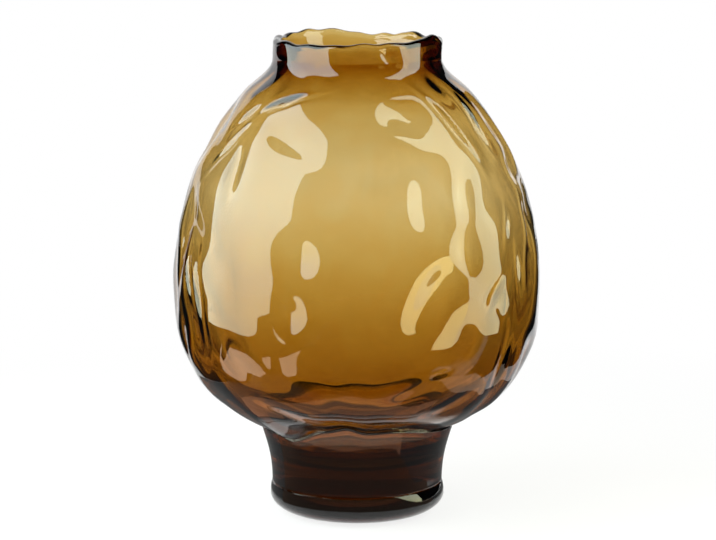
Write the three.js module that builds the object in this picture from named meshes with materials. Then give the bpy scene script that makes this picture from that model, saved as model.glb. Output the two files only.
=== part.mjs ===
import * as THREE from "three";
import { mergeVertices } from "three/addons/utils/BufferGeometryUtils.js";

// Footed vase of amber glass. Millimetres, +Z up, standing on z = 0, the viewer in front on -Y.

// Whole vase, from the ground ring up to the lip
const vaseHeight = 285;

// Foot: the base disc that the vase stands on
const footRadius = 52.3;
const footHeight = 18;
const heelRun = 18;
const heelRise = 11;
const rollFullness = 0.5;
const footEdgeInset = 1.2;
const groundMarkRadius = 20;
const groundMarkDepth = 2.5;
const groundMarkFlatness = 0.6;

// Dish in the top of the foot, where the stem is fused in
const dishLand = 1.3;
const dishFloor = 3;
const dishSteepness = 0.88;
const dishDrop = 0.7;
const dishFlatness = 0.6;

// Stem: the thick collar between the foot and the bowl
const stemHeight = 36;
const stemEdgeWidth = 1.2;
const stemFlare = 3.5;
const stemUpright = 0.45;
const stemTurnOut = 0.7;

// Body: the blown bowl with its rounded nose, shoulder, neck and lip
const creaseRadius = 57.8;
const noseDepth = 23;
const noseFlatness = 0.62;
const noseFullness = 0.88;
const noseLift = 0.8;
const bellyRadius = 110;
const bellyRise = 85;
const lowerBowlAngle = 22;
const lowerBowlReach = 0.45;
const lowerFullness = 0.57;
const shoulderRadius = 66.5;
const shoulderAngle = 45;
const upperFullness = 0.3;
const shoulderReach = 0.41;
const neckRadius = 50;
const neckCurveRise = 19;
const neckCurveReach = 0.42;
const neckRise = 12;

// Glass thickness: heavy at the bottom, thin round the upper bowl, heavy again at the neck
const baseWall = 7;
const thinWall = 1.9;
const neckWall = 8.5;
const lipWall = 5.2;
const thinShare = 0.53;
const thickeningPower = 3;

// Well: the narrow bottom of the hollow, inside the crease
const wellWall = 8.5;
const wellFlatness = 0.8;
const wellCorner = 1;
const wellRise = 20;
const wellReach = 8;
const flareReach = 16;
const wellShare = 0.36;

// Hot-fused seats between the pieces
const seatGap = 0.3;

// Scattered hand-pressed dents, in staggered rows round the bowl
const dentRows = 8;
const dentPitch = 29;
const dentDepth = 2.25;
const dentDepthSpread = 1.2;
const dentWidth = 10;
const dentWidthSpread = 3;
const dentLength = 15;
const dentLengthSpread = 5.25;
const dentScatter = 0.45;
const dentStagger = 0.5;
const dentTilt = 52;
const dentReach = 40;
const dentFade = 14;
const dentAim = 0.45;
const innerDentShare = 0.95;

// Scattered dents are fainter at the front and the back: degrees from the front, and the share kept
const frontCalmShare = 0.25;
const frontCalmEdge = 43;
const frontCalmEnd = 74;
const backCalmShare = 0.55;
const backCalmStart = 112;
const backCalmEdge = 136;

// Deep presses that the viewer sees: turn from the front, share of the way up the bowl, lean in degrees
const presses = [
  { turn: -18, up: 0.59, lean: 0, depth: 4.2, width: 12, length: 13 },
  { turn: -28.5, up: 0.885, lean: 66, depth: 3.2, width: 7, length: 19 },
  { turn: -49, up: 0.8, lean: 7, depth: 2.2, width: 5, length: 17 },
  { turn: -21, up: 0.45, lean: 0, depth: 2.4, width: 7.5, length: 12 },
  { turn: -73, up: 0.55, lean: -3, depth: 2.6, width: 6, length: 22 },
  { turn: -42, up: 0.31, lean: 26, depth: 2.6, width: 5.5, length: 10 },
  { turn: -28, up: 0.155, lean: 64, depth: 2.6, width: 5, length: 15 },
  { turn: -30, up: 0.25, lean: 77, depth: 2.4, width: 6, length: 19 },
  { turn: -27, up: 0.325, lean: 4, depth: 2.2, width: 5, length: 11 },
  { turn: 23, up: 0.95, lean: 0, depth: 4.2, width: 14, length: 11 },
  { turn: 24.5, up: 0.73, lean: -9, depth: 5.2, width: 14, length: 25 },
  { turn: 39, up: 0.735, lean: -12, depth: 2.9, width: 7, length: 17 },
  { turn: 36, up: 0.59, lean: 8, depth: 2.9, width: 7, length: 13 },
  { turn: 24, up: 0.5, lean: -36, depth: 5.2, width: 10.5, length: 25 },
  { turn: 74, up: 0.63, lean: 5, depth: 2.6, width: 6, length: 18 },
  { turn: 18, up: 0.235, lean: -69, depth: 2.2, width: 5, length: 17 },
  { turn: 37, up: 0.18, lean: -62, depth: 2.2, width: 5, length: 15 },
];

// Lobes round the vase: turn from the front and half width in degrees, rise
const creaseLobes = [
  { turn: -40, width: 9, rise: -2.5 },
  { turn: -20, width: 12, rise: 4 },
  { turn: -6, width: 8, rise: 4 },
  { turn: 18, width: 32, rise: 5.5 },
  { turn: 120, width: 25, rise: 2 },
  { turn: 170, width: 20, rise: -1.5 },
  { turn: 235, width: 25, rise: 2.5 },
];
const lipLobes = [
  { turn: 62, width: 14, rise: 3 },
  { turn: -35, width: 25, rise: -1.1 },
  { turn: 19, width: 6, rise: 1 },
  { turn: 218, width: 8, rise: 1.6 },
  { turn: 203, width: 8, rise: 1 },
  { turn: 170, width: 9, rise: -3 },
  { turn: 153, width: 6, rise: -2.2 },
  { turn: 120, width: 10, rise: -0.8 },
];
const heelLobes = [
  { turn: 45, width: 26, rise: -0.9 },
  { turn: -35, width: 30, rise: 1 },
];
const creaseLobeReach = 12;
const heelLobeReach = 5;

// Fine ripple up and down the lip, and its swing in and out
const lipRipple = { rise: 0.35, many: 17, few: 11, offset: 60 };
const lipRuffle = { swing: 0.5, count: 5, offset: 40 };

// Facets round the vase, points along its lines, and the least distance between two points
const facets = 72;
const markSteps = 2;
const heelSteps = 4;
const rollSteps = 2;
const dishSteps = 5;
const stemSteps = 5;
const noseSteps = 5;
const lowerSteps = 10;
const upperSteps = 17;
const neckSteps = 3;
const lipSteps = 4;
const wellSteps = 4;
const flareSteps = 2;
const lowerInsideSteps = 6;
const samePlace = 0.01;

// Numbers that spread the scattered values
const scatterPace = 12.9898;
const scatterSpan = 43758.5453;
const rowSeed = 61;
const dentSeed = 7;

// Levels up the vase
const stemFootLevel = footHeight + seatGap;
const creaseLevel = stemFootLevel + stemHeight;
const bellyLevel = creaseLevel + bellyRise;
const neckLevel = vaseHeight - neckRise;
const shoulderLevel = neckLevel - neckCurveRise;
const shoulderRise = shoulderLevel - bellyLevel;
const thinLevel = THREE.MathUtils.lerp(bellyLevel, shoulderLevel, thinShare);

const point = (radius, level) => new THREE.Vector2(radius, level);
const smooth = THREE.MathUtils.smoothstep;
const mix = THREE.MathUtils.lerp;
const clamp = THREE.MathUtils.clamp;
const radians = THREE.MathUtils.degToRad;
const degrees = THREE.MathUtils.radToDeg;
const apart = (turn, other) => THREE.MathUtils.euclideanModulo(turn - other + 180, 360) - 180;

// Always the same scattered value between -1 and 1 for one number
function scatter(number) {
  const value = Math.sin(number * scatterPace) * scatterSpan;
  return 2 * (value - Math.floor(value)) - 1;
}

// Outline of the body's outside, from the nose on the axis up to the neck
const crease = point(creaseRadius, creaseLevel);
const belly = point(bellyRadius, bellyLevel);
const shoulder = point(shoulderRadius, shoulderLevel);
const neck = point(neckRadius, neckLevel);
const lowerWay = point(Math.cos(radians(lowerBowlAngle)), Math.sin(radians(lowerBowlAngle)));
const shoulderWay = point(-Math.cos(radians(shoulderAngle)), Math.sin(radians(shoulderAngle)));

const noseLine = new THREE.CubicBezierCurve(
  point(0, creaseLevel - noseDepth),
  point(creaseRadius * noseFlatness, creaseLevel - noseDepth),
  point(creaseRadius * noseFullness, creaseLevel - noseDepth * noseLift),
  crease,
);
const lowerLine = new THREE.CubicBezierCurve(
  crease,
  crease.clone().addScaledVector(lowerWay, lowerBowlReach * bellyRise),
  point(bellyRadius, bellyLevel - lowerFullness * bellyRise),
  belly,
);
const upperLine = new THREE.CubicBezierCurve(
  belly,
  point(bellyRadius, bellyLevel + upperFullness * shoulderRise),
  shoulder.clone().addScaledVector(shoulderWay, -shoulderReach * shoulderRise),
  shoulder,
);
const neckCurve = new THREE.CubicBezierCurve(
  shoulder,
  shoulder.clone().addScaledVector(shoulderWay, neckCurveReach * neckCurveRise),
  point(neckRadius, neckLevel - neckCurveReach * neckCurveRise),
  neck,
);
const bowlLine = new THREE.CurvePath();
bowlLine.add(lowerLine);
bowlLine.add(upperLine);

// Glass thickness at a level
function wallAt(level) {
  const thinning = smooth(level, creaseLevel, thinLevel);
  const thickening = clamp((level - thinLevel) / (neckLevel - thinLevel), 0, 1) ** thickeningPower;
  const tapering = clamp((level - neckLevel) / neckRise, 0, 1);
  const bowlWall = mix(baseWall, thinWall, thinning);
  return bowlWall + (neckWall - thinWall) * thickening + (lipWall - neckWall) * tapering;
}

// Points along a line from a share of its length on, set off to the left of the way it runs
function aside(line, steps, offsetAt, from = 0) {
  const points = [];
  for (let i = 0; i <= steps; i += 1) {
    const share = mix(from, 1, i / steps);
    const place = line.getPointAt(share);
    const way = line.getTangentAt(share);
    const offset = offsetAt(place.y);
    points.push(point(Math.max(0, place.x - way.y * offset), place.y + way.x * offset));
  }
  return points;
}

// One outline from several runs of points, without repeats
function join(...runs) {
  const points = [];
  for (const place of runs.flat()) {
    const last = points[points.length - 1];
    if (!last || last.distanceTo(place) > samePlace) {
      points.push(place);
    }
  }
  return points;
}

function arcPoints(centre, runRadius, riseRadius, from, to, steps) {
  const arc = new THREE.EllipseCurve(centre.x, centre.y, runRadius, riseRadius, radians(from), radians(to));
  return arc.getPoints(steps);
}

// One dent: its centre on the bowl, the two ways across and along it, and its size
function makeDent({ turn, up, lean, depth, width, length }) {
  const place = bowlLine.getPointAt(up);
  const way = bowlLine.getTangentAt(up);
  const out = new THREE.Vector3(Math.sin(radians(turn)), -Math.cos(radians(turn)), 0);
  const round = new THREE.Vector3(-out.y, out.x, 0);
  const rise = out.clone().multiplyScalar(way.x).setZ(way.y);
  const [side, height] = [Math.sin(radians(lean)), Math.cos(radians(lean))];
  return {
    centre: out.clone().multiplyScalar(place.x).setZ(place.y),
    across: round.clone().multiplyScalar(height).addScaledVector(rise, side),
    along: rise.clone().multiplyScalar(height).addScaledVector(round, -side),
    depth,
    width,
    length,
  };
}

// Share of its depth that a scattered dent keeps at a turn from the front
function calmAt(turn) {
  const away = Math.abs(apart(turn, 0));
  const front = mix(frontCalmShare, 1, smooth(away, frontCalmEdge, frontCalmEnd));
  return front * mix(1, backCalmShare, smooth(away, backCalmStart, backCalmEdge));
}

function scatteredDents() {
  const found = [];
  for (let row = 0; row < dentRows; row += 1) {
    const share = (row + 0.5) / dentRows;
    const girth = 2 * Math.PI * bowlLine.getPointAt(share).x;
    const count = Math.round(girth / dentPitch);
    for (let i = 0; i < count; i += 1) {
      const seed = row * rowSeed + i * dentSeed;
      const step = i + dentStagger * (row % 2) + scatter(seed + 2) * dentScatter;
      const turn = (step / count) * 360;
      found.push(
        makeDent({
          turn,
          up: clamp(share + (scatter(seed + 1) * dentScatter) / dentRows, 0, 1),
          lean: scatter(seed + 3) * dentTilt,
          depth: (dentDepth + scatter(seed + 4) * dentDepthSpread) * calmAt(turn),
          width: dentWidth + scatter(seed + 5) * dentWidthSpread,
          length: dentLength + scatter(seed + 6) * dentLengthSpread,
        }),
      );
    }
  }
  return found;
}

const dents = [...presses.map(makeDent), ...scatteredDents()];

// Depth of all dents together at a place on the bowl
function dentAt(place) {
  let sum = 0;
  for (const dent of dents) {
    const from = place.clone().sub(dent.centre);
    const across = from.dot(dent.across) / dent.width;
    const along = from.dot(dent.along) / dent.length;
    const away = from.length() / dentReach;
    sum += dent.depth * Math.exp(-across * across - along * along - away * away);
  }
  const fadeIn = smooth(place.z, creaseLevel, creaseLevel + dentFade);
  const fadeOut = 1 - smooth(place.z, shoulderLevel, neckLevel);
  return sum * fadeIn * fadeOut;
}

// Height of soft lobes at a turn
function lobesAt(turn, lobes) {
  let sum = 0;
  for (const lobe of lobes) {
    const away = apart(turn, lobe.turn) / lobe.width;
    sum += lobe.rise * Math.exp(-away * away);
  }
  return sum;
}

// Moves a smooth point of the vase to its place on the hand-made shape
function shapePoint(place, dentShare, sagLevel) {
  const turn = degrees(Math.atan2(place.x, -place.y));
  const radius = Math.hypot(place.x, place.y);
  const moved = place.clone();
  if (dentShare > 0) {
    const core = new THREE.Vector3(0, 0, mix(bellyLevel, place.z, dentAim));
    const outward = place.clone().sub(core).normalize();
    moved.addScaledVector(outward, -dentShare * dentAt(place));
  }
  const lipShare = smooth(place.z, neckLevel, vaseHeight);
  const ripple =
    Math.sin(radians(lipRipple.many * turn)) + Math.sin(radians(lipRipple.few * turn + lipRipple.offset));
  moved.z += lipShare * (lobesAt(turn, lipLobes) + lipRipple.rise * ripple);
  const ruffle = lipRuffle.swing * Math.sin(radians(lipRuffle.count * turn + lipRuffle.offset));
  const heelAway = (place.z - stemFootLevel) / heelLobeReach;
  const heelShare = Math.exp(-heelAway * heelAway) * smooth(radius, dishRadius, footRadius);
  const swell = lipShare * ruffle + heelShare * lobesAt(turn, heelLobes);
  moved.x += swell * Math.sin(radians(turn));
  moved.y -= swell * Math.cos(radians(turn));
  const creaseAway = (place.z - sagLevel) / creaseLobeReach;
  const rimShare = smooth(radius, creaseRadius / 2, creaseRadius);
  moved.z += lobesAt(turn, creaseLobes) * rimShare * Math.exp(-creaseAway * creaseAway);
  return moved;
}

// Splits each four-sided facet along its shorter diagonal, so that seats keep their gap
function splitFacets(geometry) {
  const places = geometry.getAttribute("position");
  const at = (corner) => new THREE.Vector3().fromBufferAttribute(places, corner);
  const corners = geometry.getIndex().array;
  const split = [];
  for (let i = 0; i < corners.length; i += 6) {
    const [a, b, d, c] = corners.slice(i, i + 4);
    if (at(a).distanceTo(at(c)) + samePlace < at(b).distanceTo(at(d))) {
      split.push(a, b, c, a, c, d);
    } else {
      split.push(a, b, d, c, d, b);
    }
  }
  geometry.setIndex(split);
}

// Turns an outline about the axis and closes it into one body
function turned(outline, dentShareAt, sagLevel) {
  let geometry = new THREE.LatheGeometry(outline, facets);
  geometry.rotateX(Math.PI / 2);
  geometry.deleteAttribute("uv");
  geometry.deleteAttribute("normal");
  const places = geometry.getAttribute("position");
  const rings = outline.length;
  for (let i = 0; i < places.count; i += 1) {
    const place = new THREE.Vector3().fromBufferAttribute(places, i);
    const moved = shapePoint(place, dentShareAt(i % rings), sagLevel);
    places.setXYZ(i, moved.x, moved.y, moved.z);
  }
  splitFacets(geometry);
  geometry = mergeVertices(geometry, samePlace);
  const corners = geometry.getIndex().array;
  const kept = [];
  for (let i = 0; i < corners.length; i += 3) {
    const [a, b, c] = [corners[i], corners[i + 1], corners[i + 2]];
    if (a !== b && b !== c && c !== a) {
      kept.push(a, b, c);
    }
  }
  geometry.setIndex(kept);
  geometry.computeVertexNormals();
  return geometry;
}

const noDent = () => 0;
const awayFromSeat = () => -seatGap;

// Foot: ground mark underneath, flat ground ring, rolled heel, dish for the stem
const dishRadius = footRadius - footEdgeInset - dishLand;
const dishLevel = groundMarkDepth + dishFloor;
const footEdge = point(footRadius - footEdgeInset, footHeight);
const dishLine = new THREE.CubicBezierCurve(
  point(dishRadius, footHeight),
  point(dishRadius * dishSteepness, mix(footHeight, dishLevel, dishDrop)),
  point(dishRadius * dishFlatness, dishLevel),
  point(0, dishLevel),
);
const groundMark = new THREE.QuadraticBezierCurve(
  point(0, groundMarkDepth),
  point(groundMarkRadius * groundMarkFlatness, groundMarkDepth),
  point(groundMarkRadius, 0),
);
const heel = arcPoints(point(footRadius - heelRun, heelRise), heelRun, heelRise, -90, 0, heelSteps);
const roll = new THREE.QuadraticBezierCurve(
  point(footRadius, heelRise),
  point(footRadius, mix(heelRise, footHeight, rollFullness)),
  footEdge,
);
const footOutline = join(
  groundMark.getPoints(markSteps),
  heel,
  roll.getPoints(rollSteps),
  dishLine.getSpacedPoints(dishSteps),
);

// Where the nose meets the bowl, the place that stands off both by the seat gap
function seatCorner(place, wayIn, wayOut) {
  const off = point(wayIn.y + wayOut.y, -wayIn.x - wayOut.x);
  return place.clone().addScaledVector(off, seatGap / (1 + wayIn.dot(wayOut)));
}

// Stem: button that sits in the foot's dish, flaring side, socket for the body's nose
const button = aside(dishLine, dishSteps, awayFromSeat).reverse();
const socket = aside(noseLine, noseSteps, awayFromSeat).slice(0, -1).reverse();
const stemEdge = seatCorner(crease, noseLine.getTangentAt(1), lowerWay);
const stemTop = point(stemEdge.x, stemEdge.y - stemEdgeWidth);
const stemSide = new THREE.CubicBezierCurve(
  point(footEdge.x, stemFootLevel),
  point(footEdge.x, mix(stemFootLevel, stemTop.y, stemUpright)),
  point(stemTop.x - stemFlare, mix(stemFootLevel, stemTop.y, stemTurnOut)),
  stemTop,
);
const stemLand = [point(dishRadius, stemFootLevel)];
const stemOutline = join(button, stemLand, stemSide.getSpacedPoints(stemSteps), [stemEdge], socket);

// Body: outside from nose to lip, round lip, inside back down to the well's floor
const bodyOutside = join(
  noseLine.getSpacedPoints(noseSteps),
  lowerLine.getSpacedPoints(lowerSteps),
  upperLine.getSpacedPoints(upperSteps),
  neckCurve.getSpacedPoints(neckSteps),
);
const lipRound = lipWall / 2;
const lipCentre = point(neckRadius - lipRound, vaseHeight - lipRound);
const lip = arcPoints(lipCentre, lipRound, lipRound, 0, 180, lipSteps);
const floorLevel = creaseLevel - noseDepth + baseWall;
const wellRadius = creaseRadius - wellWall;
const wellTop = point(wellRadius, floorLevel + wellRise);
const wellLine = new THREE.CubicBezierCurve(
  point(0, floorLevel),
  point(wellRadius * wellFlatness, floorLevel),
  point(wellRadius, floorLevel + wellCorner),
  wellTop,
);
const lowerInside = aside(lowerLine, lowerInsideSteps, wallAt, wellShare);
const flareWay = lowerInside[1].clone().sub(lowerInside[0]).normalize();
const flareLine = new THREE.CubicBezierCurve(
  wellTop,
  point(wellTop.x, wellTop.y + wellReach),
  lowerInside[0].clone().addScaledVector(flareWay, -flareReach),
  lowerInside[0],
);
const bodyInside = join(
  wellLine.getSpacedPoints(wellSteps),
  flareLine.getSpacedPoints(flareSteps),
  lowerInside,
  aside(upperLine, upperSteps, wallAt),
  aside(neckCurve, neckSteps, wallAt),
).reverse();
const bodyOutline = join(bodyOutside, lip, bodyInside);
const bodyDents = (ring) => (ring < bodyOutside.length ? 1 : innerDentShare);

const amberGlass = new THREE.MeshStandardMaterial({
  color: 0xa8701f,
  roughness: 0.04,
  metalness: 0,
  transparent: true,
  opacity: 0.6,
});

const vase = new THREE.Group();
vase.name = "glass_vase";

function addPiece(name, geometry) {
  const piece = new THREE.Mesh(geometry, amberGlass);
  piece.name = name;
  vase.add(piece);
}

addPiece("foot", turned(footOutline, noDent, creaseLevel));
addPiece("stem", turned(stemOutline, noDent, creaseLevel - seatGap));
addPiece("body", turned(bodyOutline, bodyDents, creaseLevel));

export default vase;
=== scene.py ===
import math
from collections import namedtuple

import bpy
import numpy as np
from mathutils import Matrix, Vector


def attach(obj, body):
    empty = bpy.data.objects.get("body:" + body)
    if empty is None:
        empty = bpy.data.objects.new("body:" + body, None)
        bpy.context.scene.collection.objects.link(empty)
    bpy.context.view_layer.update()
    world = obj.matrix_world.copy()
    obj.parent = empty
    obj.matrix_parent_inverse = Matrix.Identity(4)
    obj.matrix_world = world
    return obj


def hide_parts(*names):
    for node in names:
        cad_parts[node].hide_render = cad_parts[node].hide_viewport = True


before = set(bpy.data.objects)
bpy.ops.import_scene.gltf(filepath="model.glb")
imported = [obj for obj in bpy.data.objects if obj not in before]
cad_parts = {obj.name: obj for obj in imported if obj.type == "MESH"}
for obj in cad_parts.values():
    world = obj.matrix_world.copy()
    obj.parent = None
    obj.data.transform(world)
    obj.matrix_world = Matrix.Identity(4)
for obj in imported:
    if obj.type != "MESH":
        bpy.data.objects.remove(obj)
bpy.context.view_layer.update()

# Outer sizes in millimetres, angles in degrees and shares, all as in the part's source
VASE_HEIGHT = 285.0
SEAT_GAP = 0.3
FOOT_RADIUS = 52.3
FOOT_HEIGHT = 18.0
FOOT_EDGE_INSET = 1.2
HEEL_RUN = 18.0
HEEL_RISE = 11.0
ROLL_FULL = 0.5
MARK_RADIUS = 20.0
MARK_DEPTH = 2.5
MARK_FLAT = 0.6
DISH_LAND = 1.3
DISH_FLOOR = 3.0
DISH_STEEP = 0.88
DISH_DROP = 0.7
DISH_FLAT = 0.6
STEM_HEIGHT = 36.0
STEM_EDGE = 1.2
STEM_FLARE = 3.5
STEM_UPRIGHT = 0.45
STEM_TURN_OUT = 0.7
CREASE_RADIUS = 57.8
NOSE_DEPTH = 23.0
NOSE_FLAT = 0.62
NOSE_FULL = 0.88
NOSE_LIFT = 0.8
BELLY_RADIUS = 110.0
BELLY_RISE = 85.0
LOWER_ANGLE = 22.0
LOWER_REACH = 0.45
LOWER_FULL = 0.57
SHOULDER_RADIUS = 66.5
SHOULDER_ANGLE = 45.0
UPPER_FULL = 0.3
SHOULDER_REACH = 0.41
NECK_RADIUS = 50.0
NECK_CURVE_RISE = 19.0
NECK_CURVE_REACH = 0.42
NECK_RISE = 12.0

# Glass thickness; the well and the wall below the neck are set by what shows through the glass
BASE_WALL = 7.0
THIN_WALL = 1.9
NECK_WALL = 8.5
LIP_WALL = 5.2
THIN_SHARE = 0.53
EVEN_SHARE = 0.18
THICKENING_POWER = 8
WELL_WALL = 11.0
WELL_FLAT = 0.8
WELL_CORNER = 1.0
WELL_RISE = 16.0
WELL_REACH = 3.0
FLARE_REACH = 6.0
WELL_SHARE = 0.1

# Scattered dents in staggered rows round the bowl
DENT_ROWS = 8
DENT_PITCH = 29.0
FEWEST_DENTS = 3
DENT_DEPTH = 2.25
DENT_DEPTH_SPREAD = 1.2
DENT_WIDTH = 10.0
DENT_WIDTH_SPREAD = 3.0
DENT_LENGTH = 15.0
DENT_LENGTH_SPREAD = 5.25
DENT_SCATTER = 0.45
DENT_STAGGER = 0.5
DENT_TILT = 52.0
DENT_REACH = 40.0
DENT_FADE = 14.0
DENT_AIM = 0.45
ROW_SEEDS = 61
DENT_SEEDS = 7
SCATTER_PACE = 12.9898
SCATTER_SPAN = 43758.5453

# Share of a dent that the inside follows, less for a narrow fold
INNER_DENTS = 0.95
INNER_FOLDS = 0.4
FOLD_WIDTH = 4.0

# Scattered dents are fainter at the front and the back: the share kept, degrees from the front
FRONT_CALM = 0.25
FRONT_EDGE = 43.0
FRONT_END = 74.0
BACK_CALM = 0.55
BACK_START = 112.0
BACK_EDGE = 136.0

# Presses of the tool: turn from the front, share up the bowl, lean, depth, width, length
PRESSES = [
    (44, 0.91, 21, 2.3, 2.2, 22),
    (61, 0.92, 7, 2.2, 2.2, 17),
    (-38, 0.99, -62, 2.6, 2.2, 12),
    (-56, 0.94, -38, 1.1, 2.3, 9),
    (-60, 0.84, -35, 1.0, 2.6, 18),
    (-49, 0.80, 7, 2.2, 5.0, 17),
    (46.5, 0.49, -38, 1.2, 2.4, 8),
    (55, 0.645, -22, 1.3, 2.4, 10),
    (59, 0.53, 0, 1.4, 2.5, 13),
    (54, 0.31, 0, 1.6, 3.0, 17),
    (-42, 0.31, 26, 0.8, 9.0, 14),
    (-64, 0.52, 17, 1.3, 2.5, 18),
    (-57, 0.455, 8, 1.3, 2.6, 22),
    (-73, 0.55, -3, 2.6, 6.0, 22),
    (74, 0.63, 5, 2.6, 6.0, 18),
    (-28, 0.155, 64, 1.7, 6.5, 16),
    (-30, 0.25, 77, 1.2, 10.0, 19),
    (-27, 0.325, 4, 0.7, 8.0, 13),
    (18, 0.235, -69, 1.3, 7.5, 15),
    (37, 0.18, -62, 1.5, 6.5, 15),
    (-18, 0.59, 0, 4.2, 12.0, 13),
    (-28.5, 0.885, 66, 3.2, 7.0, 19),
    (23, 0.95, 0, 4.2, 14.0, 11),
    (24.5, 0.73, -9, 5.2, 14.0, 25),
    (39, 0.735, -12, 2.9, 7.0, 17),
    (36, 0.59, 8, 2.9, 7.0, 13),
    (24, 0.50, -36, 5.2, 10.5, 25),
    (-21, 0.45, 0, 2.4, 7.5, 12),
    (27, 0.30, -75, 1.0, 2.2, 5),
]
# Presses on the neck, where the share goes on past 1
NECK_PRESSES = [
    (20, 1.137, 40, 2.9, 3.2, 6),
    (-24, 1.098, 0, 1.2, 9.0, 7),
    (72, 1.11, 10, 0.8, 9.0, 8),
    (128, 1.12, -15, 0.9, 10.0, 7),
    (181, 1.10, 5, 0.8, 9.0, 8),
    (229, 1.12, 20, 1.0, 10.0, 7),
    (287, 1.11, -8, 0.8, 9.0, 8),
]

# Lobes round the vase: turn from the front, half width in degrees, rise
CREASE_LOBES = [
    (-40, 9, -2.5),
    (-20, 12, 4.0),
    (-6, 8, 4.0),
    (18, 32, 5.5),
    (120, 25, 2.0),
    (170, 20, -1.5),
    (235, 25, 2.5),
]
LIP_LOBES = [
    (62, 14, 3.0),
    (-35, 25, -1.1),
    (19, 6, 1.0),
    (218, 8, 1.6),
    (203, 8, 1.0),
    (170, 9, -3.0),
    (153, 6, -2.2),
    (120, 10, -0.8),
]
HEEL_LOBES = [(50, 24, -1.0)]
# On the foot's roll the rise is a share of the roll's own inset
ROLL_LOBES = [
    (-25, 48, 1.0),
    (50, 24, -0.85),
]
SAG_REACH = 12.0
SAG_START = 0.5
HEEL_REACH = 5.0
ROLL_SLACK = 0.01

# Small waves in the lip: count round the vase, start in degrees
LIP_RIPPLE = 0.35
LIP_RIPPLES = [(17, 0), (11, 60)]
LIP_RUFFLE = 0.5
RUFFLE_COUNT = 5
RUFFLE_START = 40

# Faint waves over the bowl's skin: count round the vase, pace up it, start
SKIN_DEPTH = 0.1
SKIN_WAVES = [(11, 0.11, 0.4), (17, -0.14, 1.9), (7, 0.21, 3.1), (23, 0.07, 5.0)]

# How far each piece is drawn past its seat, so that the fused seats show no air
WELD = 0.2

# Points round each piece and along each run of its outline
TURNS = 360
CURVE_POINTS = 801
SEAT_STEPS = 40
MARK_STEPS = 20
HEEL_STEPS = 30
ROLL_STEPS = 14
STEM_STEPS = 40
LOWER_STEPS = 90
UPPER_STEPS = 130
NECK_STEPS = 24
INNER_NECK_STEPS = 16
COLLAR_STEPS = 8
LIP_STEPS = 20
WELL_STEPS = 40
CLOSEST_POINTS = 0.01
MILLIMETRE = 0.001

# Levels and sizes that follow from those above
FOOT_EDGE_RADIUS = FOOT_RADIUS - FOOT_EDGE_INSET
DISH_RADIUS = FOOT_EDGE_RADIUS - DISH_LAND
DISH_DEPTH = FOOT_HEIGHT - MARK_DEPTH - DISH_FLOOR
STEM_FOOT = FOOT_HEIGHT + SEAT_GAP
CREASE = STEM_FOOT + STEM_HEIGHT
BELLY = CREASE + BELLY_RISE
LIP = VASE_HEIGHT
NECK = LIP - NECK_RISE
SHOULDER = NECK - NECK_CURVE_RISE
SHOULDER_RISE = SHOULDER - BELLY


def smooth(value, low, high):
    """A soft step from 0 at one value to 1 at another."""
    t = np.clip((value - low) / (high - low), 0, 1)
    return t * t * (3 - 2 * t)


def scatter(number):
    """A fixed scatter between -1 and 1 for each whole number."""
    value = math.sin(number * SCATTER_PACE) * SCATTER_SPAN
    return 2 * (value - math.floor(value)) - 1


def bezier(*corners):
    """Dense points along a Bezier line."""
    t = np.linspace(0, 1, CURVE_POINTS)[:, None]
    points = [np.asarray(corner, float) for corner in corners]
    while len(points) > 1:
        points = [a * (1 - t) + b * t for a, b in zip(points[:-1], points[1:])]
    return points[0]


def even(line, steps):
    """The same line as evenly spaced points, with the way it runs at each."""
    gaps = np.linalg.norm(np.diff(line, axis=0), axis=1)
    run = np.concatenate([[0], np.cumsum(gaps)])
    at = np.linspace(0, run[-1], steps + 1)
    points = np.stack([np.interp(at, run, line[:, k]) for k in (0, 1)], 1)
    way = np.gradient(line, axis=0)
    way /= np.linalg.norm(way, axis=1)[:, None]
    ways = np.stack([np.interp(at, run, way[:, k]) for k in (0, 1)], 1)
    return points, ways / np.linalg.norm(ways, axis=1)[:, None]


def spaced(line, steps):
    """The same line as evenly spaced points."""
    return even(line, steps)[0]


def arc(centre, run, rise, start, end, steps):
    """Points along a part of an ellipse, between two angles in degrees."""
    t = np.radians(np.linspace(start, end, steps + 1))
    return np.stack([centre[0] + run * np.cos(t), centre[1] + rise * np.sin(t)], 1)


def join(*runs):
    """One outline from several runs of points, without repeats."""
    points = [runs[0][0]]
    for run in runs:
        for point in run:
            if np.hypot(*(point - points[-1])) > CLOSEST_POINTS:
                points.append(point)
    return np.array(points)


# Outer lines of the body, as radius and level
lower_way = np.array([math.cos(math.radians(LOWER_ANGLE)), math.sin(math.radians(LOWER_ANGLE))])
upper_way = np.array([-math.cos(math.radians(SHOULDER_ANGLE)), math.sin(math.radians(SHOULDER_ANGLE))])
crease = np.array([CREASE_RADIUS, CREASE])
belly = np.array([BELLY_RADIUS, BELLY])
shoulder = np.array([SHOULDER_RADIUS, SHOULDER])
nose_line = bezier(
    (0, CREASE - NOSE_DEPTH),
    (CREASE_RADIUS * NOSE_FLAT, CREASE - NOSE_DEPTH),
    (CREASE_RADIUS * NOSE_FULL, CREASE - NOSE_DEPTH * NOSE_LIFT),
    crease,
)
lower_line = bezier(
    crease,
    crease + lower_way * LOWER_REACH * BELLY_RISE,
    (BELLY_RADIUS, BELLY - LOWER_FULL * BELLY_RISE),
    belly,
)
upper_line = bezier(
    belly,
    (BELLY_RADIUS, BELLY + UPPER_FULL * SHOULDER_RISE),
    shoulder - upper_way * SHOULDER_REACH * SHOULDER_RISE,
    shoulder,
)
neck_line = bezier(
    shoulder,
    shoulder + upper_way * NECK_CURVE_REACH * NECK_CURVE_RISE,
    (NECK_RADIUS, NECK - NECK_CURVE_REACH * NECK_CURVE_RISE),
    (NECK_RADIUS, NECK),
)
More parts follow.
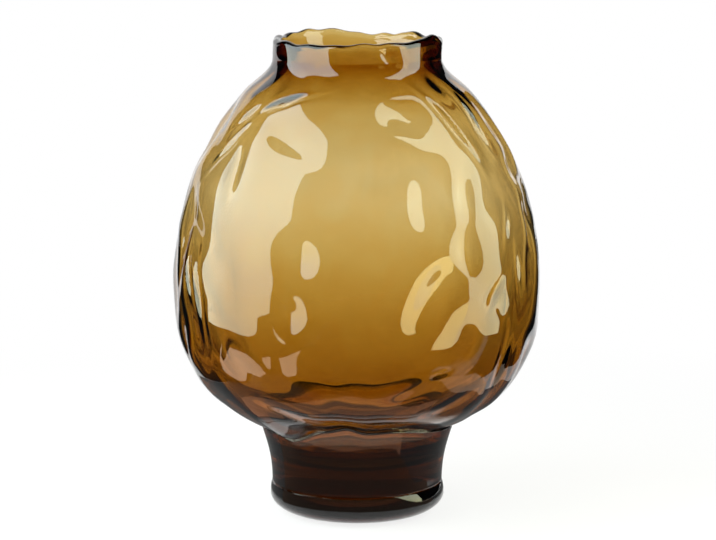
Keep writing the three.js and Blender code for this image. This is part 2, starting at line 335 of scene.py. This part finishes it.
collar_line = bezier((NECK_RADIUS, NECK), (NECK_RADIUS, LIP))
bowl_line = np.concatenate([lower_line, upper_line[1:]])


def wall_at(level):
    """Thickness of the bowl, the neck and the lip at each level."""
    thin = BELLY + SHOULDER_RISE * THIN_SHARE
    wall = BASE_WALL + (THIN_WALL - BASE_WALL) * smooth(level, CREASE, thin)
    up = np.clip((level - thin) / (NECK - thin), 0, 1)
    wall += (NECK_WALL - THIN_WALL) * (EVEN_SHARE * up + (1 - EVEN_SHARE) * up**THICKENING_POWER)
    return wall + (LIP_WALL - NECK_WALL) * np.clip((level - NECK) / NECK_RISE, 0, 1)


def aside(line, steps, distance):
    """The line set off by a distance to the left of the way it runs."""
    points, ways = even(line, steps)
    return points + np.stack([-ways[:, 1] * distance, ways[:, 0] * distance], 1)


def inside(line, steps):
    """The inner side of an outer line."""
    wall = wall_at(spaced(line, steps)[:, 1])
    moved = aside(line, steps, wall)
    moved[:, 0] = np.maximum(moved[:, 0], 0)
    return moved


def calm_at(turn):
    """Share of its depth that a scattered dent keeps at a turn from the front."""
    away = abs((math.degrees(turn) + 180) % 360 - 180)
    front = FRONT_CALM + (1 - FRONT_CALM) * smooth(away, FRONT_EDGE, FRONT_END)
    back = 1 - (1 - BACK_CALM) * smooth(away, BACK_START, BACK_EDGE)
    return front * back


Dent = namedtuple("Dent", "centre across along depth width length inner_share on_neck")


def make_dents():
    """Every dent, with the share of it that the inside follows and whether it is on the neck."""
    line = np.concatenate([bowl_line, neck_line[1:], collar_line[1:]])
    gaps = np.linalg.norm(np.diff(line, axis=0), axis=1)
    run = np.concatenate([[0], np.cumsum(gaps)]) / gaps[: len(bowl_line) - 1].sum()
    ways = np.gradient(line, axis=0)
    ways /= np.linalg.norm(ways, axis=1)[:, None]

    def at(share, table):
        return np.array([np.interp(share, run, table[:, k]) for k in (0, 1)])

    def dent(turn, share, lean, depth, width, length):
        radius, level = at(share, line)
        outward, upward = at(share, ways)
        out = np.array([math.sin(turn), -math.cos(turn), 0])
        around = np.array([math.cos(turn), math.sin(turn), 0])
        up = out * outward + np.array([0, 0, upward])
        return Dent(
            centre=out * radius + np.array([0, 0, level]),
            across=around * math.cos(lean) + up * math.sin(lean),
            along=up * math.cos(lean) - around * math.sin(lean),
            depth=depth,
            width=width,
            length=length,
            inner_share=INNER_DENTS if width > FOLD_WIDTH else INNER_FOLDS,
            on_neck=share > 1,
        )

    made = []
    for turn, share, lean, depth, width, length in PRESSES + NECK_PRESSES:
        made.append(dent(math.radians(turn), share, math.radians(lean), depth, width, length))
    for row in range(DENT_ROWS):
        middle = (row + 0.5) / DENT_ROWS
        count = max(FEWEST_DENTS, round(2 * math.pi * at(middle, line)[0] / DENT_PITCH))
        for i in range(count):
            seed = row * ROW_SEEDS + i * DENT_SEEDS
            shift, twist, tilt, deeper, wider, longer = [scatter(seed + k) for k in range(1, 7)]
            share = min(1, max(0, middle + shift * DENT_SCATTER / DENT_ROWS))
            turn = (i + DENT_STAGGER * (row % 2) + twist * DENT_SCATTER) / count * 2 * math.pi
            depth = (DENT_DEPTH + DENT_DEPTH_SPREAD * deeper) * calm_at(turn)
            width = DENT_WIDTH + DENT_WIDTH_SPREAD * wider
            length = DENT_LENGTH + DENT_LENGTH_SPREAD * longer
            made.append(dent(turn, share, math.radians(tilt * DENT_TILT), depth, width, length))
    return made


dents = make_dents()


def dent_at(points, inner):
    """How deep the skin is pressed in at each point."""
    on_bowl = np.zeros(len(points))
    on_neck = np.zeros(len(points))
    for dent in dents:
        away = points - dent.centre
        near = (away * away).sum(1) / DENT_REACH**2
        sideways = (away @ dent.across) / dent.width
        lengthways = (away @ dent.along) / dent.length
        press = dent.depth * np.exp(-(sideways**2) - lengthways**2 - near)
        press *= np.where(inner, dent.inner_share, 1)
        if dent.on_neck:
            on_neck += press
        else:
            on_bowl += press
    turn = np.arctan2(points[:, 0], -points[:, 1])
    level = points[:, 2]
    for count, pace, start in SKIN_WAVES:
        on_bowl += SKIN_DEPTH * np.sin(count * turn + pace * level + start)
    fade_in = smooth(level, CREASE, CREASE + DENT_FADE)
    fade_out = 1 - smooth(level, SHOULDER, NECK)
    return on_bowl * fade_in * fade_out + on_neck


def lobes_at(turn, lobes):
    """Sum of soft lobes round the vase at each turn from the front."""
    total = np.zeros(len(turn))
    for centre, width, rise in lobes:
        apart = (turn - centre + 180) % 360 - 180
        total += rise * np.exp(-((apart / width) ** 2))
    return total


def swell_at(turn, radius, level):
    """How far the lip, the stem's heel and the foot's roll stand out or in."""
    ruffle = np.sin(np.radians(RUFFLE_COUNT * turn + RUFFLE_START))
    swell = smooth(level, NECK, LIP) * LIP_RUFFLE * ruffle
    on_heel = np.exp(-(((level - STEM_FOOT) / HEEL_REACH) ** 2))
    on_heel *= (level > FOOT_HEIGHT) * smooth(radius, DISH_RADIUS, FOOT_EDGE_RADIUS)
    swell += on_heel * lobes_at(turn, HEEL_LOBES)
    on_roll = (level > HEEL_RISE) & (level <= FOOT_HEIGHT) & (radius >= FOOT_EDGE_RADIUS - ROLL_SLACK)
    return swell + on_roll * lobes_at(turn, ROLL_LOBES) * (FOOT_RADIUS - radius)


def shape(points, dented, inner, crease_level):
    """Moves smooth points to their places on the hand-made shape."""
    turn = np.degrees(np.arctan2(points[:, 0], -points[:, 1]))
    radius = np.hypot(points[:, 0], points[:, 1])
    level = points[:, 2]
    moved = points.copy()
    if dented:
        core = np.zeros_like(points)
        core[:, 2] = BELLY + (level - BELLY) * DENT_AIM
        out = points - core
        out /= np.linalg.norm(out, axis=1)[:, None]
        moved -= out * dent_at(points, inner)[:, None]
    ripple = sum(np.sin(np.radians(count * turn + start)) for count, start in LIP_RIPPLES)
    moved[:, 2] += smooth(level, NECK, LIP) * (lobes_at(turn, LIP_LOBES) + LIP_RIPPLE * ripple)
    moved[:, :2] *= (1 + swell_at(turn, radius, level) / np.maximum(radius, 1))[:, None]
    rim = smooth(radius, CREASE_RADIUS * SAG_START, CREASE_RADIUS)
    sag = np.exp(-(((level - crease_level) / SAG_REACH) ** 2))
    moved[:, 2] += lobes_at(turn, CREASE_LOBES) * rim * sag
    return moved


def add_object(name, data):
    """A new object in the scene."""
    ob = bpy.data.objects.new(name, data)
    bpy.context.scene.collection.objects.link(ob)
    return ob


def turned(name, outline, dented, outer_count, crease_level):
    """One closed body from an outline that starts and ends on the axis."""
    ring = outline[1:-1]
    turn = np.arange(TURNS) / TURNS * 2 * math.pi
    radius, level = ring[:, 0][:, None], ring[:, 1][:, None]
    points = np.stack([radius * np.cos(turn), radius * np.sin(turn), level + 0 * turn], -1)
    ends = np.array([[0, 0, outline[0][1]], [0, 0, outline[-1][1]]])
    points = np.concatenate([points.reshape(-1, 3), ends])
    inner = np.repeat(np.arange(1, len(outline) - 1) >= outer_count, TURNS)
    inner = np.concatenate([inner, [False, True]])
    points = shape(points, dented, inner, crease_level) * MILLIMETRE
    here = np.arange(TURNS)
    following = (here + 1) % TURNS
    last = (len(ring) - 1) * TURNS
    faces = []
    for low in range(0, last, TURNS):
        high = low + TURNS
        faces += np.stack([low + here, low + following, high + following, high + here], 1).tolist()
    start_pole, end_pole = len(points) - 2, len(points) - 1
    faces += np.stack([np.full(TURNS, start_pole), following, here], 1).tolist()
    faces += np.stack([np.full(TURNS, end_pole), last + here, last + following], 1).tolist()
    mesh = bpy.data.meshes.new(name)
    mesh.from_pydata(points.tolist(), [], faces)
    mesh.shade_smooth()
    return add_object(name, mesh)


# Foot
dish_line = bezier(
    (DISH_RADIUS, FOOT_HEIGHT),
    (DISH_RADIUS * DISH_STEEP, FOOT_HEIGHT - DISH_DEPTH * DISH_DROP),
    (DISH_RADIUS * DISH_FLAT, FOOT_HEIGHT - DISH_DEPTH),
    (0, FOOT_HEIGHT - DISH_DEPTH),
)
mark_line = bezier((0, MARK_DEPTH), (MARK_RADIUS * MARK_FLAT, MARK_DEPTH), (MARK_RADIUS, 0))
heel = arc((FOOT_RADIUS - HEEL_RUN, HEEL_RISE), HEEL_RUN, HEEL_RISE, -90, 0, HEEL_STEPS)
roll_rise = (FOOT_HEIGHT - HEEL_RISE) * ROLL_FULL
roll_line = bezier(
    (FOOT_RADIUS, HEEL_RISE),
    (FOOT_RADIUS, HEEL_RISE + roll_rise),
    (FOOT_EDGE_RADIUS, FOOT_HEIGHT),
)
foot_outline = join(
    spaced(mark_line, MARK_STEPS),
    heel,
    spaced(roll_line, ROLL_STEPS),
    aside(dish_line, SEAT_STEPS, -WELD),
)
foot = turned("foot_glass", foot_outline, False, 0, CREASE)

# Stem
socket = aside(nose_line, SEAT_STEPS, WELD - SEAT_GAP)
button = aside(dish_line, SEAT_STEPS, WELD - SEAT_GAP)[::-1]
stem_top = socket[-1] + np.array([0, -STEM_EDGE])
stem_rise = stem_top[1] - STEM_FOOT
stem_line = bezier(
    (FOOT_EDGE_RADIUS, STEM_FOOT - WELD),
    (FOOT_EDGE_RADIUS, STEM_FOOT + stem_rise * STEM_UPRIGHT),
    (stem_top[0] - STEM_FLARE, STEM_FOOT + stem_rise * STEM_TURN_OUT),
    stem_top,
)
stem_outline = join(button, spaced(stem_line, STEM_STEPS), socket[::-1])
stem = turned("stem_glass", stem_outline, False, 0, CREASE - SEAT_GAP)

# Body
lip_round = LIP_WALL / 2
lip = arc((NECK_RADIUS - lip_round, LIP - lip_round), lip_round, lip_round, 0, 180, LIP_STEPS)
straight_line = bezier((NECK_RADIUS, NECK), (NECK_RADIUS, LIP - lip_round))
outer = join(
    aside(nose_line, SEAT_STEPS, -WELD),
    spaced(lower_line, LOWER_STEPS),
    spaced(upper_line, UPPER_STEPS),
    spaced(neck_line, NECK_STEPS),
    spaced(straight_line, COLLAR_STEPS),
)
well_floor = CREASE - NOSE_DEPTH + BASE_WALL
well_radius = CREASE_RADIUS - WELL_WALL
well_top = np.array([well_radius, well_floor + WELL_RISE])
well_line = bezier(
    (0, well_floor),
    (well_radius * WELL_FLAT, well_floor),
    (well_radius, well_floor + WELL_CORNER),
    well_top,
)
lower_inside = inside(lower_line, LOWER_STEPS)
meet = round(LOWER_STEPS * WELL_SHARE)
meet_way = lower_inside[meet + 1] - lower_inside[meet - 1]
meet_way = meet_way / np.hypot(*meet_way)
flare_line = bezier(
    well_top,
    well_top + np.array([0, WELL_REACH]),
    lower_inside[meet] - meet_way * FLARE_REACH,
    lower_inside[meet],
)
inner = join(
    spaced(well_line, WELL_STEPS),
    spaced(flare_line, WELL_STEPS),
    lower_inside[meet + 1 :],
    inside(upper_line, UPPER_STEPS),
    inside(neck_line, INNER_NECK_STEPS),
    inside(straight_line, COLLAR_STEPS)[:-1],
)[::-1]
body_outline = join(outer, lip, inner)
body = turned("body_glass", body_outline, True, len(outer), CREASE)


def colour_ramp(nodes, low, low_colour, high, high_colour):
    """A ramp from one colour to another between two values."""
    ramp = nodes.new("ShaderNodeValToRGB")
    first, second = ramp.color_ramp.elements
    first.position = low
    first.color = (*low_colour, 1)
    second.position = high
    second.color = (*high_colour, 1)
    return ramp


def amber_glass(name, density):
    """Clear amber glass that deepens with its thickness, with faint cords and an uneven skin."""
    mat = bpy.data.materials.new(name)
    mat.use_nodes = True
    nodes, links = mat.node_tree.nodes, mat.node_tree.links
    skin = nodes["Principled BSDF"]
    skin.inputs["Transmission Weight"].default_value = 1
    skin.inputs["IOR"].default_value = 1.5
    skin.inputs["Roughness"].default_value = 0.0
    depth = nodes.new("ShaderNodeVolumeAbsorption")
    depth.inputs["Color"].default_value = (0.793, 0.633, 0.111, 1)
    depth.inputs["Density"].default_value = density
    links.new(depth.outputs[0], nodes["Material Output"].inputs["Volume"])
    place = nodes.new("ShaderNodeTexCoord")
    waves = nodes.new("ShaderNodeTexNoise")
    waves.inputs["Scale"].default_value = 45
    waves.inputs["Detail"].default_value = 1
    bump = nodes.new("ShaderNodeBump")
    bump.inputs["Strength"].default_value = 0.05
    bump.inputs["Distance"].default_value = 0.0006
    links.new(place.outputs["Object"], waves.inputs["Vector"])
    links.new(waves.outputs["Fac"], bump.inputs["Height"])
    links.new(bump.outputs["Normal"], skin.inputs["Normal"])
    cords = nodes.new("ShaderNodeTexNoise")
    cords.inputs["Scale"].default_value = 26
    cords.inputs["Detail"].default_value = 2
    cords.inputs["Distortion"].default_value = 1.4
    tint = colour_ramp(nodes, low=0.3, low_colour=(1, 0.965, 0.9), high=0.62, high_colour=(1, 1, 1))
    links.new(place.outputs["Object"], cords.inputs["Vector"])
    links.new(cords.outputs["Fac"], tint.inputs[0])
    links.new(tint.outputs[0], skin.inputs["Base Color"])
    return mat


# The stem is far thicker than the bowl; its glass is a paler copy of the bowl's, painted light that
# stands in for light carried through the stem
bowl_glass = amber_glass("amber_glass", density=450)
stem_glass = amber_glass("amber_stem_glass_painted_light", density=120)
pieces = [(foot, "foot", bowl_glass), (stem, "stem", stem_glass), (body, "body", bowl_glass)]
for piece, node, glass in pieces:
    piece.data.materials.append(glass)
    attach(piece, "root")
    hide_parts(node)

# Studio, from here on in metres: the floor, and the levels of the cards of painted light and shade that
# lie on it
FLOOR_HALF = 12
FLOOR_DROP = 0.0002
FRONT_LEVEL = 0.001
ROUND_LEVEL = 0.0015
SIDE_LEVEL = 0.002
LIT_LEVEL = 0.004

# Painted dark floor, seen only in the glass: where it starts beside and before the vase, and how far it
# goes
DARK_SIDE = 0.17
DARK_NEAR = 0.09
DARK_FAR = 3.0

# Backdrop with a gable, painted darker to both sides, and the low card behind the foot, painted shade
BACKDROP_HALF = 0.24
BACKDROP_PLACE = 0.2
BACKDROP_EAVES = 0.18
BACKDROP_RIDGE = 0.3
BACKDROP_SHIFT = -0.006
LOW_HALF = 0.2
LOW_PLACE = 0.08
LOW_TOP = 0.036

# Lamps: how high they are, how far they stand off the floor and off their dark backs
LAMP_HEIGHT = 1.0
LAMP_LIFT = 0.005
LAMP_BACK = 0.01

# Painted lit and shaded bands round the foot: first turn from the front, and the turns between which they
# get lower
BAND_START = -80
BAND_STEPS = 40
BAND_FALL = (30, 60)


def square(half):
    """Corners of a square round the vase."""
    return [(-half, -half), (half, -half), (half, half), (-half, half)]


def flat(corners, level):
    """Corners on the floor, lifted to a level."""
    return [(x, y, level) for x, y in corners]


def upright(start, end, height):
    """Corners of a card that stands on the floor between two places."""
    return [(*start, 0), (*end, 0), (*end, height), (*start, height)]


def white_floor():
    """Pale floor that reads white, with the vase's soft shadow near it."""
    mesh = bpy.data.meshes.new("floor")
    mesh.from_pydata(flat(square(FLOOR_HALF), 0), [], [(0, 1, 2, 3)])
    floor = add_object("floor", mesh)
    floor.location.z = -FLOOR_DROP
    mat = bpy.data.materials.new("floor")
    mat.use_nodes = True
    nodes, links = mat.node_tree.nodes, mat.node_tree.links
    nodes.remove(nodes["Principled BSDF"])
    lit = nodes.new("ShaderNodeBsdfDiffuse")
    lit.inputs["Color"].default_value = (0.9, 0.9, 0.9, 1)
    glow = nodes.new("ShaderNodeEmission")
    path = nodes.new("ShaderNodeLightPath")
    seen = nodes.new("ShaderNodeMath")
    seen.operation = "MAXIMUM"
    links.new(path.outputs["Is Camera Ray"], seen.inputs[0])
    links.new(path.outputs["Is Transmission Ray"], seen.inputs[1])
    shown = nodes.new("ShaderNodeMath")
    shown.operation = "MAXIMUM"
    links.new(seen.outputs[0], shown.inputs[0])
    links.new(path.outputs["Is Glossy Ray"], shown.inputs[1])
    place = nodes.new("ShaderNodeTexCoord")
    far = nodes.new("ShaderNodeVectorMath")
    far.operation = "LENGTH"
    links.new(place.outputs["Object"], far.inputs[0])
    fade = nodes.new("ShaderNodeMapRange")
    fade.inputs["From Min"].default_value = 0.12
    fade.inputs["From Max"].default_value = 0.55
    fade.inputs["To Min"].default_value = 0.8
    fade.inputs["To Max"].default_value = 1.0
    links.new(far.outputs["Value"], fade.inputs["Value"])
    share = nodes.new("ShaderNodeMath")
    share.operation = "MULTIPLY"
    links.new(shown.outputs[0], share.inputs[0])
    links.new(fade.outputs[0], share.inputs[1])
    mixed = nodes.new("ShaderNodeMixShader")
    links.new(share.outputs[0], mixed.inputs["Fac"])
    links.new(lit.outputs[0], mixed.inputs[1])
    links.new(glow.outputs[0], mixed.inputs[2])
    links.new(mixed.outputs[0], nodes["Material Output"].inputs["Surface"])
    mesh.materials.append(mat)


white_floor()


def world_light():
    """Even white light round the horizon, fading to a dim warm ceiling."""
    world = bpy.data.worlds.new("studio")
    bpy.context.scene.world = world
    world.use_nodes = True
    nodes, links = world.node_tree.nodes, world.node_tree.links
    way = nodes.new("ShaderNodeTexCoord")
    split = nodes.new("ShaderNodeSeparateXYZ")
    links.new(way.outputs["Generated"], split.inputs[0])
    sky = colour_ramp(nodes, low=0.5, low_colour=(1, 1, 1), high=0.85, high_colour=(0.1, 0.07, 0.035))
    links.new(split.outputs["Z"], sky.inputs[0])
    links.new(sky.outputs[0], nodes["Background"].inputs["Color"])


world_light()


def card(name, corners, seen, faces=None):
    """A dark studio card that shows only in the glass, as a reflection or through it: painted shade for
    unlit floor, backdrop and room, or the black back of a lamp.
    """
    mesh = bpy.data.meshes.new(name)
    mesh.from_pydata(corners, [], faces or [tuple(range(len(corners)))])
    ob = add_object(name, mesh)
    mat = bpy.data.materials.new(name)
    mat.use_nodes = True
    mesh.materials.append(mat)
    ob.visible_camera = ob.visible_diffuse = ob.visible_shadow = False
    ob.visible_volume_scatter = False
    ob.visible_glossy = seen == "glossy"
    ob.visible_transmission = seen == "transmission"
    skin = mat.node_tree.nodes["Principled BSDF"]
    # Near black: painted shade, except on the backs of the lamps
    skin.inputs["Base Color"].default_value = (0.015, 0.015, 0.017, 1)
    skin.inputs["Roughness"].default_value = 1
    skin.inputs["Specular IOR Level"].default_value = 0
    return ob


def fading(ob, axis, start, end, start_clear, end_clear):
    """Makes a card black, and more or less clear from one distance to another, so that its painted shade
    fades.
    """
    tree = ob.active_material.node_tree
    nodes, links = tree.nodes, tree.links
    nodes.remove(nodes["Principled BSDF"])
    place = nodes.new("ShaderNodeTexCoord")
    ramp = nodes.new("ShaderNodeMapRange")
    ramp.interpolation_type = "SMOOTHSTEP"
    ramp.inputs["From Min"].default_value = start
    ramp.inputs["From Max"].default_value = end
    ramp.inputs["To Min"].default_value = start_clear
    ramp.inputs["To Max"].default_value = end_clear
    if axis == "round":
        far = nodes.new("ShaderNodeVectorMath")
        far.operation = "LENGTH"
        links.new(place.outputs["Object"], far.inputs[0])
        links.new(far.outputs["Value"], ramp.inputs["Value"])
    else:
        split = nodes.new("ShaderNodeSeparateXYZ")
        away = nodes.new("ShaderNodeMath")
        away.operation = "ABSOLUTE"
        links.new(place.outputs["Object"], split.inputs[0])
        links.new(split.outputs[axis], away.inputs[0])
        links.new(away.outputs[0], ramp.inputs["Value"])
    black = nodes.new("ShaderNodeEmission")
    black.inputs["Strength"].default_value = 0.0
    clear = nodes.new("ShaderNodeBsdfTransparent")
    mixed = nodes.new("ShaderNodeMixShader")
    links.new(ramp.outputs[0], mixed.inputs["Fac"])
    links.new(black.outputs[0], mixed.inputs[1])
    links.new(clear.outputs[0], mixed.inputs[2])
    links.new(mixed.outputs[0], nodes["Material Output"].inputs["Surface"])


def surround(radius, height, left_gap, right_gap, steps):
    """A round dark wall with a lid, open at the back between two angles in degrees: painted shade for the
    unlit studio, seen only in the glass's reflections.
    """
    turn = np.radians(90 + np.linspace(left_gap, 360 - right_gap, steps + 1))
    ring = [(radius * math.cos(t), radius * math.sin(t)) for t in turn]
    corners = flat(ring, 0) + flat(ring, height) + [(0, 0, height)]
    above = len(ring)
    lid = 2 * above
    faces = [(k, k + 1, above + k + 1, above + k) for k in range(steps)]
    faces += [(above + k, above + k + 1, lid) for k in range(steps)]
    card("painted_shade_surround", corners, "glossy", faces)


surround(radius=3.0, height=3.0, left_gap=36, right_gap=24, steps=60)

# Painted shade on the floor, seen only in the glass: dark in front and at both sides, and dim round the
# vase; and painted shade under the vase, seen through it
front = [(-DARK_SIDE, -DARK_FAR), (DARK_FAR, -DARK_FAR), (DARK_FAR, -DARK_NEAR), (-DARK_SIDE, -DARK_NEAR)]
painted_shade_front = card("painted_shade_front", flat(front, FRONT_LEVEL), "glossy")
fading(painted_shade_front, "Y", start=0.12, end=0.145, start_clear=0.6, end_clear=0.04)
painted_shade_round = card("painted_shade_round", flat(square(DARK_SIDE), ROUND_LEVEL), "glossy")
fading(painted_shade_round, "round", start=0.072, end=0.092, start_clear=1.0, end_clear=0.2)
left = [(-DARK_SIDE, 0.1), (-0.9, 1.6), (-DARK_FAR, 1.6), (-DARK_FAR, -DARK_FAR), (-DARK_SIDE, -DARK_FAR)]
card("painted_shade_left", flat(left, SIDE_LEVEL), "glossy")
right = [(DARK_SIDE, -DARK_NEAR), (DARK_FAR, -DARK_NEAR), (DARK_FAR, DARK_FAR), (1.0, DARK_FAR)]
card("painted_shade_right", flat(right, SIDE_LEVEL), "glossy")
painted_shade_under = card("painted_shade_under", flat(square(0.26), ROUND_LEVEL), "transmission")
fading(painted_shade_under, "round", start=0.11, end=0.17, start_clear=0.45, end_clear=1.0)

# Painted shade behind the vase, seen only through the glass: a backdrop that dims to both sides, and a
# low dim card behind the foot
gable = [(-BACKDROP_HALF, 0), (BACKDROP_HALF, 0), (BACKDROP_HALF, BACKDROP_EAVES)]
gable += [(0, BACKDROP_RIDGE), (-BACKDROP_HALF, BACKDROP_EAVES)]
painted_shade_sides = card("painted_shade_sides", [(x, BACKDROP_PLACE, z) for x, z in gable], "transmission")
painted_shade_sides.location.x = BACKDROP_SHIFT
fading(painted_shade_sides, "X", start=0.06, end=0.165, start_clear=1.0, end_clear=0.3)
low_ends = (-LOW_HALF, LOW_PLACE), (LOW_HALF, LOW_PLACE)
painted_shade_low = card("painted_shade_low", upright(*low_ends, LOW_TOP), "transmission")
fading(painted_shade_low, "Z", start=0.022, end=0.034, start_clear=0.15, end_clear=1.0)


def warm_below(lamp):
    """Light that is warm near the floor and a little cool above it."""
    lamp.use_nodes = True
    nodes, links = lamp.node_tree.nodes, lamp.node_tree.links
    place = nodes.new("ShaderNodeNewGeometry")
    split = nodes.new("ShaderNodeSeparateXYZ")
    warm, cool = (0.94, 0.94, 0.68), (0.83, 0.97, 0.98)
    tint = colour_ramp(nodes, low=0.02, low_colour=warm, high=0.3, high_colour=cool)
    links.new(place.outputs["Position"], split.inputs[0])
    links.new(split.outputs["Z"], tint.inputs[0])
    links.new(tint.outputs[0], nodes["Emission"].inputs["Color"])


def softbox(name, start, end, level, tint):
    """A large soft lamp standing on the floor between two places, facing the vase."""
    start, end = Vector(start), Vector(end)
    width = (end - start).length
    lamp = bpy.data.lights.new(name, "AREA")
    lamp.shape = "RECTANGLE"
    lamp.size, lamp.size_y = width, LAMP_HEIGHT
    lamp.energy = level * math.pi * width * LAMP_HEIGHT
    lamp.color = tint
    warm_below(lamp)
    ob = add_object(name, lamp)
    middle = (start + end) / 2
    side = (end - start).normalized()
    away = Vector((side.y, -side.x, 0))
    if away.dot(middle) < 0:
        away = -away
    ob.location = (middle.x, middle.y, LAMP_HEIGHT / 2 + LAMP_LIFT)
    ob.rotation_euler = away.to_track_quat("Z", "Y").to_euler()
    ob.visible_camera = ob.visible_transmission = False
    back = [(place + away * LAMP_BACK).xy for place in (start, end)]
    card(name + "_back", upright(*back, LAMP_HEIGHT), "glossy")


softbox("left_softbox", (-0.55, 0.15, 0), (-0.365, -0.43, 0), level=6.0, tint=(1, 1, 1))
softbox("right_softbox", (0.345, -0.2, 0), (0.41, -0.005, 0), level=6.0, tint=(1, 0.97, 0.8))


def lit(name, corners, colour, faces=None):
    """A glowing card, though no lamp, that shows only as a reflection in the glass: painted light, or
    painted shade where its glow is dim.
    """
    tree = card(name, corners, "glossy", faces).active_material.node_tree
    nodes = tree.nodes
    nodes.remove(nodes["Principled BSDF"])
    glow = nodes.new("ShaderNodeEmission")
    glow.inputs["Color"].default_value = (*colour, 1)
    tree.links.new(glow.outputs[0], nodes["Material Output"].inputs["Surface"])


def lit_band(name, inner, outer, right_height, end, colour):
    """A glowing band round the front of the foot, from one radius and height to another: painted light on
    the floor, or painted shade where its glow is dim.
    """
    turns = np.linspace(BAND_START, end, BAND_STEPS + 1)
    inner_heights = np.full(len(turns), inner[1])
    outer_heights = np.interp(turns, BAND_FALL, (outer[1], right_height))
    corners = []
    for radius, heights in ((inner[0], inner_heights), (outer[0], outer_heights)):
        for turn, height in zip(np.radians(turns), heights):
            corners.append((radius * math.sin(turn), -radius * math.cos(turn), height))
    beside = len(turns)
    faces = [(k, k + 1, beside + k + 1, beside + k) for k in range(BAND_STEPS)]
    lit(name, corners, colour, faces)


# Painted light on the floor before the lamps, and a glowing low card beside the right one, a painted
# reflection; all seen only in the glass
left_patch = [(-0.32, -0.04), (-0.215, -0.045), (-0.15, -0.095), (-0.15, -0.125)]
left_patch += [(-0.18, -0.135), (-0.235, -0.115), (-0.26, -0.06)]
lit("painted_light_left", flat(left_patch, LIT_LEVEL), (3.6, 2.8, 2.1))
near_patch = [(-0.205, -0.17), (-0.14, -0.135), (-0.12, -0.14), (-0.11, -0.165)]
near_patch += [(-0.135, -0.26), (-0.15, -0.315), (-0.19, -0.21)]
lit("painted_light_near", flat(near_patch, LIT_LEVEL), (3.8, 3.0, 2.2))
right_patch = [(0.12, -0.15), (0.15, -0.16), (0.195, -0.06), (0.185, 0.03), (0.15, 0.02), (0.13, -0.06)]
lit("painted_light_right", flat(right_patch, LIT_LEVEL), (1.3, 1.0, 0.75))
lit("painted_light_low_right", upright((0.292, -0.36), (0.345, -0.2), 0.12), (7.4, 6.6, 3.1))

# Painted warm glow on the floor round the foot, standing in for light through the glass, and a dim fence
# inside it, painted shade beside the foot
lit_band("painted_glow_round", (0.09, 0.003), (0.13, 0.003), right_height=0.003, end=45, colour=(1.2, 0.65, 0.42))
lit_band("painted_shade_fence", (0.074, 0.0), (0.074, 0.034), right_height=0.01, end=80, colour=(0.25, 0.18, 0.14))

# Camera fitted to the outline in the photograph
CAMERA_PLACE = (0.0005, -1.6925, 0.4387)
CAMERA_TILT = 9.82
camera_data = bpy.data.cameras.new("camera")
camera_data.sensor_width = 36
camera_data.lens = 144.7
camera = add_object("camera", camera_data)
camera.location = CAMERA_PLACE
camera.rotation_euler = (math.radians(90 - CAMERA_TILT), 0, 0)
bpy.context.scene.camera = camera
bpy.context.scene.view_settings.view_transform = "Standard"
